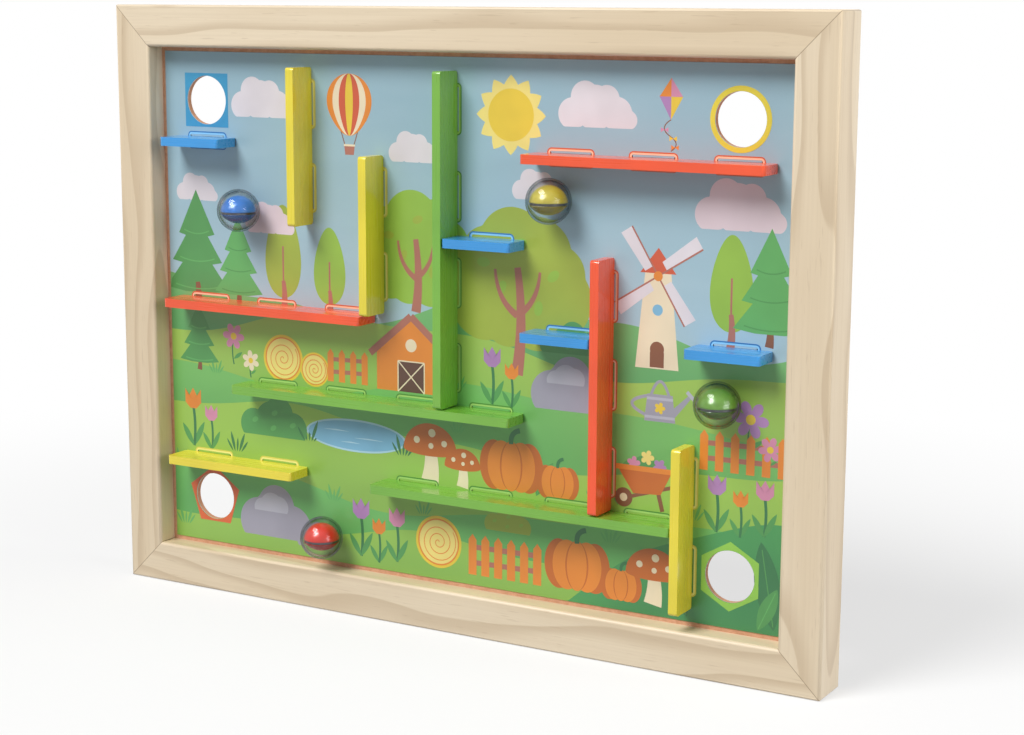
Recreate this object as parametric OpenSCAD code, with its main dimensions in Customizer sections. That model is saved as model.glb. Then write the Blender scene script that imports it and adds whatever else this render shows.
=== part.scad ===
// Upright marble run: a mitred wooden frame round a pictured board, with a grid of
// painted slats tabbed into the board and four clear balls that travel between them.
// Units are millimetres. X runs along the width, the front faces -Y, and Z is up.

/* [Grid] */
// Number of cells across the board
grid_cols = 8; // [8:1:10]
// Number of cells up the board
grid_rows = 6; // [6:1:8]
// Width of one cell
cell_w = 86; // [80:1:100]
// Height of one cell
cell_h = 84.5; // [80:0.5:100]
// Space from the grid's side lines to the inner edge of the frame
side_space = 15; // [14:1:30]
// Space from the grid's end lines to the inner edge of the frame
end_space = 12; // [12:0.5:30]

/* [Frame] */
// Width of each rail, seen from the front
rail_w = 43; // [36:1:60]
// Depth of the rails, from front to back
rail_d = 47; // [44:1:60]
// Depth from the front of the rails to the picture
recess_d = 21.5; // [18:0.5:26]
// Radius on the long edges of the rails
edge_r = 3; // [0.5:0.5:4]
// Radius of the frame's four outer corners
corner_r = 3; // [1:0.5:6]
// How far the board reaches into the groove
board_bite = 6; // [4:0.5:8]
// Diameter of the dowels in the mitres
dowel_d = 8; // [6:0.5:10]
// Length of the dowels
dowel_len = 36; // [24:1:36]
// Distance of each dowel from the nearer face of the frame
dowel_inset = 10.5; // [8:0.5:12]

/* [Board] */
// Thickness of the fibreboard
board_t = 5.2; // [4:0.2:8]
// Thickness of the steel sheet that the magnets pull on
steel_t = 0.4; // [0.3:0.1:1]
// Thickness of the picture sheet
picture_t = 0.4; // [0.3:0.1:1]
// Bare board left round the picture
picture_margin = 4.4; // [3:0.2:10]
// Diameter of the four holes that the balls leave by
hole_d = 50; // [46:1:54]

/* [Slats] */
// Thickness of the slats
slat_t = 9; // [6:0.5:12]
// How far the slats stand out of the picture
slat_d = 32; // [26:1:40]
// Space left between a slat's end and the grid line there
slat_end = 5.5; // [5:0.5:10]
// Radius of the slat's corners
slat_r = 3; // [1:0.5:8]
// Length of each tab
tab_len = 46; // [30:1:56]
// Radius of the relief drilled at each corner of a slot
relief_r = 1.5; // [1:0.1:2.5]

/* [Balls] */
// Diameter of the clear balls
ball_d = 44; // [38:0.5:45]
// Wall of the clear shell
shell_t = 3; // [1.6:0.2:3.4]
// Height of the coloured cap over the magnet
cap_h = 16.2; // [14:0.1:18]
// Depth of the bowl under the magnet
bowl_h = 10; // [8:0.1:14]
// Wall of the cap and of the bowl
core_t = 1.6; // [1:0.1:3]
// Thickness of the magnet disc
magnet_t = 2.4; // [1.6:0.2:4]
// How far the magnet lies below the ball's middle
magnet_drop = 2; // [0:0.2:3]
// How far the cap and the bowl reach past the magnet
rim_lip = 0.8; // [0.4:0.1:2]

/* [Hangers] */
// Distance of each hanger from the side of the frame
hanger_inset = 120; // [80:5:200]
// Length of a hanger plate
plate_len = 50; // [46:1:60]
// Height of a hanger plate
plate_h = 18; // [17:0.5:20]
// Thickness of a hanger plate
plate_t = 1.5; // [1.2:0.1:2]
// Diameter of the keyhole's wide part
key_d = 9; // [8:0.5:10]
// Width of the keyhole's narrow part
key_slot_w = 4.4; // [4:0.2:5]
// Depth of the pocket for the wall screw's head, behind the plate
key_pocket_d = 6; // [4:0.5:8]
// How far the keyhole's narrow part rises above its wide part
key_rise = 6; // [5:0.5:7]
// Space round the wall screw's head in its pocket
pocket_clear = 1; // [0.5:0.5:2]
// Diameter of the hanger screws' heads
screw_head_d = 6.6; // [6:0.2:7.4]
// Diameter of the hanger screws
screw_d = 3; // [2.6:0.2:3.4]
// Length of the hanger screws
screw_len = 15; // [10:1:20]

/* [Fits] */
// Clearance on each side of the board in its groove
groove_clear = 0.1; // [0.1:0.1:0.4]
// Clearance all round a tab in its slot
slot_clear = 0.15; // [0.1:0.05:0.4]
// Clearance round a dowel, a screw or a plate
bore_clear = 0.05; // [0.05:0.05:0.2]
// Gap between a ball and what it rests against
ball_gap = 0.3; // [0.2:0.05:0.5]
// Depth cut past the end of a dowel, a screw or the board
end_relief = 0.5; // [0.5:0.5:2]

/* [Hidden] */
$fn = 64;
eps = 0.01;
cut_over = 1;
wood = "burlywood";
panel_brown = "peru";
steel_grey = "silver";
sky_blue = "lightskyblue";
red_paint = "orangered";
yellow_paint = "gold";
green_paint = "yellowgreen";
blue_paint = "dodgerblue";

inner_w = grid_cols * cell_w + 2 * side_space;
inner_h = grid_rows * cell_h + 2 * end_space;
frame_w = inner_w + 2 * rail_w;
frame_h = inner_h + 2 * rail_w;
mid_z = frame_h / 2;

// Depths, from the front of a ball to the back of the frame
ball_r = ball_d / 2;
ball_proud = max(ball_gap + ball_d, slat_d) - recess_d;
front_y = (ball_proud - rail_d) / 2;
back_y = front_y + rail_d;
picture_y = front_y + recess_d;
steel_y = picture_y + picture_t;
board_y = steel_y + steel_t;
panel_t = picture_t + steel_t + board_t;
ball_y = picture_y - ball_gap - ball_r;

groove_w = board_t + 2 * groove_clear;
groove_deep = board_bite + end_relief;
picture_w = inner_w - 2 * picture_margin;
picture_h = inner_h - 2 * picture_margin;

slot_len = tab_len + 2 * slot_clear;
slot_w = slat_t + 2 * slot_clear;

// Ball: the core turns inside the shell on a running gap
shell_in = ball_r - shell_t;
core_rim_r = sqrt(pow(shell_in - ball_gap, 2) - pow(magnet_drop + magnet_t / 2, 2));
magnet_r = core_rim_r - rim_lip;
seam_t = shell_t / 2;
seam_h = 2;

// Hanger: screw places, and the keyhole's height about the plate's middle
screw_x = plate_len / 2 - plate_h / 3;
screw_head_h = plate_t;
screw_tip = 3;
key_low = -plate_h / 6;
key_high = key_low + key_rise;
pocket_w = key_d + 2 * pocket_clear;

// Slats: name, colour, lie, first column line, first row line, cells covered
LEVEL = 0;
UPRIGHT = 1;
SLATS = [
    ["slat_blue_top_left", blue_paint, LEVEL, 0, 5, 1],
    ["slat_red_top_right", red_paint, LEVEL, 5, 5, 3],
    ["slat_blue_middle", blue_paint, LEVEL, 4, 4, 1],
    ["slat_red_left", red_paint, LEVEL, 0, 3, 3],
    ["slat_blue_centre_right", blue_paint, LEVEL, 5, 3, 1],
    ["slat_blue_right", blue_paint, LEVEL, 7, 3, 1],
    ["slat_green_upper_level", green_paint, LEVEL, 1, 2, 4],
    ["slat_green_lower_level", green_paint, LEVEL, 3, 1, 4],
    ["slat_yellow_bottom_left", yellow_paint, LEVEL, 0, 1, 2],
    ["slat_yellow_top_upright", yellow_paint, UPRIGHT, 2, 4, 2],
    ["slat_yellow_middle_upright", yellow_paint, UPRIGHT, 3, 3, 2],
    ["slat_green_upright", green_paint, UPRIGHT, 4, 2, 4],
    ["slat_red_upright", red_paint, UPRIGHT, 6, 1, 3],
    ["slat_yellow_bottom_upright", yellow_paint, UPRIGHT, 7, 0, 2]
];

// Balls: name, colour, place in columns and rows of the grid
BALLS = [
    ["ball_blue", blue_paint, 1.15, 4.2],
    ["ball_yellow", yellow_paint, 5.37, 4.54],
    ["ball_green", green_paint, 7.42, 2.46],
    ["ball_red", red_paint, 2.3, 0.27]
];
BALL_PARTS = ["_shell_upper", "_shell_lower", "_core_cap", "_core_magnet", "_core_bowl"];

function col_x(i) = (i - grid_cols / 2) * cell_w;
function row_z(j) = mid_z + (j - grid_rows / 2) * cell_h;
function is_level(s) = s[2] == LEVEL;
function slat_len(s) = s[5] * (is_level(s) ? cell_w : cell_h) - 2 * slat_end;
function slat_mid(s) = is_level(s)
    ? [col_x(s[3] + s[5] / 2), row_z(s[4])]
    : [col_x(s[3]), row_z(s[4] + s[5] / 2)];
function tab_places(s) = let (pitch = is_level(s) ? cell_w : cell_h)
    [for (k = [0 : s[5] - 1]) (k - (s[5] - 1) / 2) * pitch];

// Lays a flat outline upright in the board's plane, y0 being its front face
module upright_plate(y0, t) {
    translate([0, y0 + t, 0])
        rotate([90, 0, 0])
            linear_extrude(t)
                children();
}

module rounded_rect(w, h, r) {
    square([w - 2 * r, h], center = true);
    square([w, h - 2 * r], center = true);
    for (sx = [-1, 1], sz = [-1, 1])
        translate([sx * (w / 2 - r), sz * (h / 2 - r)])
            circle(r);
}

// ---- Frame ----

// Section of a rail: depth along x, outer edge at y = 0, inner edge at y = rail_w
module rail_section() {
    difference() {
        translate([front_y + rail_d / 2, rail_w / 2])
            rounded_rect(rail_d, rail_w, edge_r);
        translate([board_y - groove_clear, rail_w - groove_deep])
            square([groove_w, groove_deep + eps]);
    }
}

// Front view of one rail: mitred at both ends, with the frame's corner rounding
module rail_front(len) {
    half = len / 2;
    intersection() {
        polygon([[-half, 0], [half, 0], [half - rail_w, rail_w], [rail_w - half, rail_w]]);
        translate([0, rail_w])
            rounded_rect(len, 2 * rail_w, corner_r);
    }
}

// One rail lying along X with its outer edge on z = 0
module plain_rail(len) {
    intersection() {
        translate([-len / 2, 0, 0])
            rotate([90, 0, 90])
                linear_extrude(len)
                    rail_section();
        upright_plate(front_y - cut_over, rail_d + 2 * cut_over)
            rail_front(len);
    }
}

// Turns a rail made at the bottom round the frame's middle
module on_side(turn, across) {
    translate([0, 0, mid_z])
        rotate([0, turn, 0])
            translate([0, 0, -across / 2])
                children();
}

// Places children at each dowel, with Z along the dowel
module at_dowels() {
    for (sx = [-1, 1], sz = [-1, 1], y = [front_y + dowel_inset, back_y - dowel_inset])
        translate([sx * (frame_w - rail_w) / 2, y, mid_z + sz * (frame_h - rail_w) / 2])
            rotate([0, -45 * sx * sz, 0])
                children();
}

module dowel_holes() {
    at_dowels()
        cylinder(h = dowel_len + 2 * end_relief, r = dowel_d / 2 + bore_clear, center = true);
}

module corner_dowels() {
    chamfer = 1;
    color(wood)
        at_dowels()
            rotate_extrude()
                polygon([
                    [0, -dowel_len / 2],
                    [dowel_d / 2 - chamfer, -dowel_len / 2],
                    [dowel_d / 2, chamfer - dowel_len / 2],
                    [dowel_d / 2, dowel_len / 2 - chamfer],
                    [dowel_d / 2 - chamfer, dowel_len / 2],
                    [0, dowel_len / 2]
                ]);
}

module frame_rail(len, turn, across) {
    color(wood)
        difference() {
            on_side(turn, across)
                plain_rail(len);
            dowel_holes();
        }
}

module frame_bottom() {
    frame_rail(frame_w, 0, frame_h);
}

module frame_left() {
    frame_rail(frame_h, 90, frame_w);
}

module frame_right() {
    frame_rail(frame_h, -90, frame_w);
}

module frame_top() {
    color(wood)
        difference() {
            frame_rail(frame_w, 180, frame_h);
            at_hangers()
                hanger_pocket();
        }
}

// ---- Hangers ----

// Places children on the back of the top rail, with Z pointing out of the wood
module at_hangers() {
    for (sx = [-1, 1])
        translate([sx * (frame_w / 2 - hanger_inset), back_y, frame_h - rail_w / 2])
            rotate([-90, 0, 0])
                rotate([0, 0, 180])
                    children();
}

module at_hanger_screws() {
    for (sx = [-1, 1])
        translate([sx * screw_x, 0, 0])
            children();
}

module plate_outline(extra) {
    rounded_rect(plate_len + 2 * extra, plate_h + 2 * extra, plate_h / 2 + extra - eps);
}

module key_outline() {
    translate([0, key_low])
        circle(key_d / 2);
    translate([-key_slot_w / 2, key_low])
        square([key_slot_w, key_high - key_low]);
    translate([0, key_high])
        circle(key_slot_w / 2);
}

module hanger_pocket() {
    translate([0, 0, -plate_t])
        linear_extrude(plate_t + cut_over)
            plate_outline(bore_clear);
    translate([0, 0, -plate_t - key_pocket_d])
        linear_extrude(key_pocket_d + cut_over) {
            translate([0, key_low])
                circle(pocket_w / 2);
            translate([0, key_high])
                circle(pocket_w / 2);
            translate([-pocket_w / 2, key_low])
                square([pocket_w, key_high - key_low]);
        }
    at_hanger_screws()
        translate([0, 0, -screw_len - end_relief])
            cylinder(h = screw_len + end_relief, r = screw_d / 2 + bore_clear);
}

module hanger_plates() {
    color(steel_grey)
        at_hangers()
            difference() {
                translate([0, 0, -plate_t])
                    linear_extrude(plate_t)
                        plate_outline(0);
                translate([0, 0, -plate_t - cut_over])
                    linear_extrude(plate_t + 2 * cut_over)
                        key_outline();
                at_hanger_screws()
                    screw_body(bore_clear, cut_over);
            }
}

// Countersunk screw with its head flush at z = 0; the head is drawn up by over
module screw_body(extra, over) {
    rotate_extrude()
        polygon([
            [0, -screw_len],
            [screw_d / 2 + extra, screw_tip - screw_len],
            [screw_d / 2 + extra, -screw_head_h],
            [screw_head_d / 2 + extra, 0],
            [screw_head_d / 2 + extra, over],
            [0, over]
        ]);
}

module hanger_screws() {
    drive_w = 0.9;
    drive_l = 3.6;
    drive_deep = 1.2;
    color(steel_grey)
        at_hangers()
            at_hanger_screws()
                difference() {
                    screw_body(0, 0);
                    for (turn = [0, 90])
                        rotate([0, 0, turn])
                            cube([drive_l, drive_w, 2 * drive_deep], center = true);
                }
}

// ---- Board ----

// Outline of one slot, lengthwise along x, with a relief at each corner
module slot_outline() {
    square([slot_len, slot_w], center = true);
    for (sx = [-1, 1], sz = [-1, 1])
        translate([sx * (slot_len / 2 - relief_r / 2), sz * slot_w / 2])
            circle(relief_r);
}

module all_slots() {
    for (s = SLATS)
        translate(slat_mid(s))
            rotate(is_level(s) ? 0 : 90)
                for (u = tab_places(s))
                    translate([u, 0])
                        slot_outline();
}

// The four holes stand in the middle of the corner cells
module all_holes() {
    for (i = [0.5, grid_cols - 0.5], j = [0.5, grid_rows - 0.5])
        translate([col_x(i), row_z(j)])
            circle(hole_d / 2);
}

module cut_sheet(w, h, y0, t) {
    upright_plate(y0, t)
        difference() {
            translate([0, mid_z])
                square([w, h], center = true);
            all_holes();
            all_slots();
        }
}

module board() {
    color(panel_brown)
        cut_sheet(inner_w + 2 * board_bite, inner_h + 2 * board_bite, board_y, board_t);
}

module steel_sheet() {
    color(steel_grey)
        cut_sheet(picture_w, picture_h, steel_y, steel_t);
}

module picture_sheet() {
    color(sky_blue)
        cut_sheet(picture_w, picture_h, picture_y, picture_t);
}

// ---- Slats ----

// Side view of a slat: length along x, picture face at y = 0, tabs below it
module slat_outline(s) {
    len = slat_len(s);
    translate([0, slat_d / 2])
        rounded_rect(len, slat_d, slat_r);
    for (u = tab_places(s))
        translate([u - tab_len / 2, -panel_t])
            square([tab_len, panel_t + slat_r]);
}

module slat(s) {
    mid = slat_mid(s);
    color(s[1])
        translate([mid[0], picture_y, mid[1]])
            rotate([0, is_level(s) ? 0 : -90, 0])
                rotate([180, 0, 0])
                    translate([0, 0, -slat_t / 2])
                        linear_extrude(slat_t)
                            slat_outline(s);
}

// ---- Balls ----

module at_ball(b) {
    translate([col_x(b[2]), ball_y, row_z(b[3])])
        children();
}

// Half of the clear shell's section, above z = 0
module shell_half_section() {
    intersection() {
        difference() {
            circle(ball_r);
            circle(shell_in);
        }
        square(ball_r);
    }
}

// The upper half laps over the lower half's inner lip
module ball_shell_upper(b) {
    color(b[1], 0.3)
        at_ball(b)
            rotate_extrude()
                difference() {
                    shell_half_section();
                    translate([0, -cut_over])
                        square([shell_in + seam_t, seam_h + cut_over]);
                }
}

module ball_shell_lower(b) {
    color(b[1], 0.3)
        at_ball(b)
            rotate_extrude() {
                mirror([0, 1])
                    shell_half_section();
                intersection() {
                    shell_half_section();
                    square([shell_in + seam_t, seam_h]);
                }
            }
}

// Section of a shallow dome standing on z = 0, as a ring of its own wall
module dome_section(rim_r, h) {
    dome_r = (rim_r * rim_r + h * h) / (2 * h);
    intersection() {
        translate([0, h - dome_r])
            difference() {
                circle(dome_r);
                circle(dome_r - core_t);
            }
        square([rim_r, h]);
    }
}

module ball_core_cap(b) {
    color(b[1])
        at_ball(b)
            translate([0, 0, magnet_t / 2 - magnet_drop])
                rotate_extrude()
                    dome_section(core_rim_r, cap_h);
}

module ball_core_magnet(b) {
    color("dimgray")
        at_ball(b)
            translate([0, 0, -magnet_drop])
                cylinder(h = magnet_t, r = magnet_r, center = true);
}

module ball_core_bowl(b) {
    color(b[1], 0.6)
        at_ball(b)
            translate([0, 0, -magnet_t / 2 - magnet_drop])
                rotate_extrude()
                    mirror([0, 1])
                        dome_section(core_rim_r, bowl_h);
}

frame_top();
frame_bottom();
frame_left();
frame_right();
corner_dowels();
board();
steel_sheet();
picture_sheet();
hanger_plates();
hanger_screws();
for (s = SLATS) {
    slat(s);
}
for (b = BALLS) {
    ball_shell_upper(b);
    ball_shell_lower(b);
    ball_core_cap(b);
    ball_core_magnet(b);
    ball_core_bowl(b);
}
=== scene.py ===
"""Dresses the marble run panel: maple frame, painted slats, printed sheet, clear balls, floor and light.
Lengths in the tables below are millimetres in the panel's own frame: x to the right, z up, -y to the
front."""
import math

import bpy
import numpy as np
from mathutils import Matrix, Vector


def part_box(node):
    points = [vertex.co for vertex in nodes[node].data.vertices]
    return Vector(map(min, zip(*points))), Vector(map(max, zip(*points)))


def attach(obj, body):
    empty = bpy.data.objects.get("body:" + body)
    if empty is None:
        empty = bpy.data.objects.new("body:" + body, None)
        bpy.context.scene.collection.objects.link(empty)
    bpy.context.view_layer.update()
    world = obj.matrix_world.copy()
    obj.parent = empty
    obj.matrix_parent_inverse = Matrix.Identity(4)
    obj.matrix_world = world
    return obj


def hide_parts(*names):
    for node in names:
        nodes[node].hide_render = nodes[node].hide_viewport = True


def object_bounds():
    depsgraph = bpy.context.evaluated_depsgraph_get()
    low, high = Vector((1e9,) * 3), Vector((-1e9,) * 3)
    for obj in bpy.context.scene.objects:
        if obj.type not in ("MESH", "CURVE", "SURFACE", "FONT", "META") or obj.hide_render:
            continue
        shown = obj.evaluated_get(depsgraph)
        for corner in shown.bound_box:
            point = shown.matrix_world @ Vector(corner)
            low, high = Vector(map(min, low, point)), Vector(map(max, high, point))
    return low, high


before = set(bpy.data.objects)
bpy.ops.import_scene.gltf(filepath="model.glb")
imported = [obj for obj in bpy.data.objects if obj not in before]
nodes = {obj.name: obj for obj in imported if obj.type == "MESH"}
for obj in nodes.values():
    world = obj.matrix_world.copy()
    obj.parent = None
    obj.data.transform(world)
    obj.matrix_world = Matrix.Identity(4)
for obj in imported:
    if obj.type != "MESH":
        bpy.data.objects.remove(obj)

cad_low, cad_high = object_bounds()
stage = bpy.context.scene
stage.view_settings.view_transform = "Standard"

MM = 0.001
TURN = 2 * math.pi
sheet_low, sheet_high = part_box("picture_sheet")
SHEET_Y = sheet_low.y / MM
SHEET_X = (sheet_low.x / MM, sheet_high.x / MM)
SHEET_Z = (sheet_low.z / MM, sheet_high.z / MM)
FRAME_W, FRAME_H = (cad_high.x - cad_low.x) / MM, (cad_high.z - cad_low.z) / MM
LAYER = 0.022  # thickness of one layer of ink, so that a drawing's parts lie over each other
GOLDEN = 0.61803  # step that spreads the patches of one layer evenly over its thickness
TRIM = 0.3  # bare edge that is left of the sheet
EDGES = 30.0  # angle in degrees above which an edge of the print is sharp
SURROUND_LAYER = 7  # the plates round the holes lie over every motif


# ---------------------------------------------------------------- finishes

def ink_rgb(red, green, blue):
    """Display colour 0-255 to the linear colour that a shader socket takes."""
    c = np.array([red, green, blue]) / 255.0
    lin = np.where(c <= 0.04045, c / 12.92, ((c + 0.055) / 1.055) ** 2.4)
    return (float(lin[0]), float(lin[1]), float(lin[2]), 1.0)


def tone(colour, times):
    return tuple(min(1.0, c * times) for c in colour[:3]) + (1.0,)


class Nodes:
    """A node tree under construction."""

    def __init__(self, tree):
        self.tree = tree

    def add(self, kind, inputs=(), **settings):
        n = self.tree.nodes.new(kind)
        for key, value in settings.items():
            setattr(n, key, value)
        for key, value in dict(inputs).items():
            if isinstance(value, bpy.types.NodeSocket):
                self.tree.links.new(value, n.inputs[key])
            else:
                n.inputs[key].default_value = value
        return n

    def sum(self, op, a, b=0.0, c=0.0):
        return self.add("ShaderNodeMath", {0: a, 1: b, 2: c}, operation=op).outputs[0]


class Finish(Nodes):
    """A material under construction; the calls that add a texture or a sum return its output socket."""

    def __init__(self, name, colour, rough, **sockets):
        self.mat = bpy.data.materials.new(name)
        self.mat.use_nodes = True
        super().__init__(self.mat.node_tree)
        self.shader = self.tree.nodes["Principled BSDF"]
        self.shader.inputs["Base Color"].default_value = colour
        self.shader.inputs["Roughness"].default_value = rough
        for key, value in sockets.items():
            self.shader.inputs[key.replace("_", " ")].default_value = value
        self.mat.diffuse_color = colour

    def place(self, scale=(1, 1, 1), turn=(0, 0, 0)):
        spot = self.add("ShaderNodeTexCoord").outputs["Object"]
        n = self.add("ShaderNodeMapping", {"Vector": spot, "Scale": scale, "Rotation": turn})
        return n.outputs["Vector"]

    def cloudy(self, vector, scale, detail=2.0, rough=0.5, distortion=0.0):
        n = self.add("ShaderNodeTexNoise", {"Vector": vector, "Scale": scale, "Detail": detail,
                                            "Roughness": rough, "Distortion": distortion})
        return n.outputs["Fac"]

    def spread(self, value, low, high, to_low=0.0, to_high=1.0, kind="SMOOTHSTEP"):
        n = self.add("ShaderNodeMapRange", {"Value": value, "From Min": low, "From Max": high,
                                            "To Min": to_low, "To Max": to_high}, interpolation_type=kind)
        return n.outputs["Result"]

    def mix(self, part, a, b):
        return self.add("ShaderNodeMix", {0: part, 6: a, 7: b}, data_type="RGBA").outputs[2]

    def colour(self, socket):
        self.tree.links.new(socket, self.shader.inputs["Base Color"])

    def gloss(self, socket):
        self.tree.links.new(socket, self.shader.inputs["Roughness"])

    def relief(self, height, distance, strength=1.0):
        n = self.add("ShaderNodeBump", {"Height": height, "Distance": distance, "Strength": strength})
        self.tree.links.new(n.outputs["Normal"], self.shader.inputs["Normal"])

    def surface(self, shader):
        self.tree.links.new(shader.outputs[0], self.tree.nodes["Material Output"].inputs["Surface"])


def maple(name, upright, seed, tree_y, tree_z):
    """Pale maple with its grain along x, or along z when upright. Growth rings are cylinders round a
    line beside the rail, bent by slow noise, so that they come out as long soft flames on its faces.
    A thin dark line marks the glued mitre, where the ways in from the side and from the end are equal."""
    f = Finish(name, ink_rgb(231, 212, 182), 0.45, Coat_Weight=0.1, Coat_Roughness=0.3)
    turn = (0, math.radians(90), 0) if upright else (0, 0, 0)
    lie = f.place(turn=turn)
    wander = f.add("ShaderNodeMapping", {"Vector": lie, "Scale": (1.6, 7, 7),
                                         "Location": (seed, seed * 0.7, 0)})
    slow = f.add("ShaderNodeTexNoise", {"Vector": wander.outputs[0], "Scale": 1.3, "Detail": 2.0,
                                        "Roughness": 0.45})
    away = f.add("ShaderNodeVectorMath", {0: slow.outputs["Color"], 1: (0.5, 0.5, 0.5)}, operation="SUBTRACT")
    bent = f.add("ShaderNodeVectorMath", {0: away.outputs[0], 1: (0, 0.16, 0.16)}, operation="MULTIPLY")
    ring_at = f.add("ShaderNodeVectorMath", {0: lie, 1: bent.outputs[0]}, operation="ADD")
    shifted = f.add("ShaderNodeMapping", {"Vector": ring_at.outputs[0], "Location": (0, tree_y, tree_z)})
    split = f.add("ShaderNodeSeparateXYZ", {0: shifted.outputs[0]})
    span = f.sum("SQRT", f.sum("ADD", f.sum("MULTIPLY", split.outputs["Y"], split.outputs["Y"]),
                               f.sum("MULTIPLY", split.outputs["Z"], split.outputs["Z"])))
    ring = f.sum("FRACT", f.sum("MULTIPLY", span, 34.0))
    late = f.sum("MULTIPLY", f.spread(ring, 0.5, 0.93), f.spread(ring, 1.0, 0.95))
    fibre_at = f.add("ShaderNodeMapping", {"Vector": lie, "Scale": (5, 420, 420)})
    fibre = f.cloudy(fibre_at.outputs[0], 1.0, 3.0, 0.6)
    fleck_at = f.add("ShaderNodeMapping", {"Vector": lie, "Scale": (40, 700, 700),
                                           "Location": (seed, 0, 0)})
    fleck = f.spread(f.cloudy(fleck_at.outputs[0], 1.0, 1.0), 0.66, 0.78)
    broad_at = f.add("ShaderNodeMapping", {"Vector": lie, "Scale": (2.2, 14, 14),
                                           "Location": (seed * 3, 1, 2)})
    broad = f.cloudy(broad_at.outputs[0], 1.0, 2.0)
    body = f.mix(f.spread(broad, 0.3, 0.72), ink_rgb(236, 219, 191), ink_rgb(226, 206, 175))
    body = f.mix(f.sum("MULTIPLY", late, 0.5), body, ink_rgb(192, 168, 136))
    body = f.mix(f.spread(fibre, 0.3, 0.75, 0.0, 0.2), body, ink_rgb(204, 182, 150))
    body = f.mix(f.sum("MULTIPLY", fleck, 0.24), body, ink_rgb(176, 148, 114))
    spot = f.add("ShaderNodeSeparateXYZ", {0: f.place()})
    in_x = f.sum("SUBTRACT", FRAME_W / 2 * MM, f.sum("ABSOLUTE", spot.outputs["X"]))
    from_mid = f.sum("SUBTRACT", spot.outputs["Z"], FRAME_H / 2 * MM)
    in_z = f.sum("SUBTRACT", FRAME_H / 2 * MM, f.sum("ABSOLUTE", from_mid))
    off = f.sum("ABSOLUTE", f.sum("SUBTRACT", in_x, in_z))
    body = f.mix(f.spread(off, 0.0007, 0.0002, 0.0, 0.75), body, ink_rgb(140, 114, 84))
    f.colour(body)
    f.gloss(f.spread(fibre, 0.25, 0.8, 0.36, 0.52, "LINEAR"))
    f.relief(f.sum("ADD", f.sum("MULTIPLY", fibre, 0.6), f.sum("MULTIPLY", late, -0.4)), 0.00012, 0.6)
    return f.mat


def slat_paint(name, colour, upright):
    """Semi-gloss paint over wood: a slight drift of colour, brush lines along the slat, and fine peel."""
    f = Finish(name, colour, 0.28, Coat_Weight=0.6, Coat_Roughness=0.1)
    along = (260, 260, 7) if upright else (7, 260, 260)
    lines = f.cloudy(f.place(scale=along), 1.0, 3.0, 0.55)
    drift = f.cloudy(f.place(), 16.0, 2.0)
    peel = f.cloudy(f.place(), 500.0, 1.0)
    body = f.mix(f.spread(drift, 0.3, 0.7), tone(colour, 0.93), tone(colour, 1.05))
    body = f.mix(f.spread(lines, 0.45, 0.8, 0.0, 0.05), body, tone(colour, 0.72))
    f.colour(body)
    f.gloss(f.spread(lines, 0.3, 0.8, 0.25, 0.33, "LINEAR"))
    f.relief(f.sum("ADD", f.sum("MULTIPLY", lines, 0.6), f.sum("MULTIPLY", peel, 0.1)), 0.00002, 0.3)
    return f.mat


def print_ink(name, colour, shade=0.94):
    """One ink of the printed sheet: satin, with a soft change of depth and the faintest printed grain."""
    f = Finish(name, colour, 0.38, Coat_Weight=0.25, Coat_Roughness=0.22)
    depth = f.cloudy(f.place(), 22.0, 2.0)
    grain = f.cloudy(f.place(), 1400.0, 1.0)
    body = f.mix(f.spread(depth, 0.3, 0.7), tone(colour, shade), tone(colour, 1.03))
    f.colour(f.mix(f.spread(grain, 0.35, 0.75, 0.0, 0.07), body, tone(colour, 0.8)))
    f.gloss(f.spread(grain, 0.3, 0.7, 0.34, 0.42, "LINEAR"))
    return f.mat


def meadow_ground():
    """The sheet's own print: sky that pales towards the ground, its darker top partly painted shade
    under the top rail, and rolling bands of green, each ending where z falls below a sum of two sines of x."""
    f = Finish("printed_sheet", ink_rgb(165, 204, 222), 0.38, Coat_Weight=0.25, Coat_Roughness=0.22)
    split = f.add("ShaderNodeSeparateXYZ", {0: f.place()})
    x, z = split.outputs["X"], split.outputs["Z"]
    # Partly painted shade: the sky darkens towards the top of the sheet, partly for the shadow under the top
    # rail
    body = f.mix(f.spread(z, 0.29, 0.56, kind="LINEAR"), ink_rgb(169, 198, 210), ink_rgb(149, 182, 196))
    wisp = f.cloudy(f.place(scale=(3, 3, 11)), 1.4, 3.0)
    body = f.mix(f.spread(wisp, 0.5, 0.75, 0.0, 0.2), body, ink_rgb(190, 214, 224))
    for top, a1, k1, p1, a2, k2, p2, crest, foot, deep in GROUND:
        wave = f.sum("ADD", f.sum("MULTIPLY", f.sum("SINE", f.sum("MULTIPLY_ADD", x, k1, p1)), a1 * MM),
                     f.sum("MULTIPLY", f.sum("SINE", f.sum("MULTIPLY_ADD", x, k2, p2)), a2 * MM))
        below = f.sum("SUBTRACT", f.sum("ADD", wave, top * MM), z)
        edge = f.spread(below, -0.0002, 0.0002)
        shade = f.mix(f.spread(below, 0.0, deep * MM), ink_rgb(*crest), ink_rgb(*foot))
        body = f.mix(edge, body, shade)
    grain = f.cloudy(f.place(), 1400.0, 1.0)
    body = f.mix(f.spread(grain, 0.35, 0.75, 0.0, 0.06), body, ink_rgb(110, 140, 130))
    f.colour(body)
    f.gloss(f.spread(grain, 0.3, 0.7, 0.34, 0.42, "LINEAR"))
    return f.mat


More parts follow.
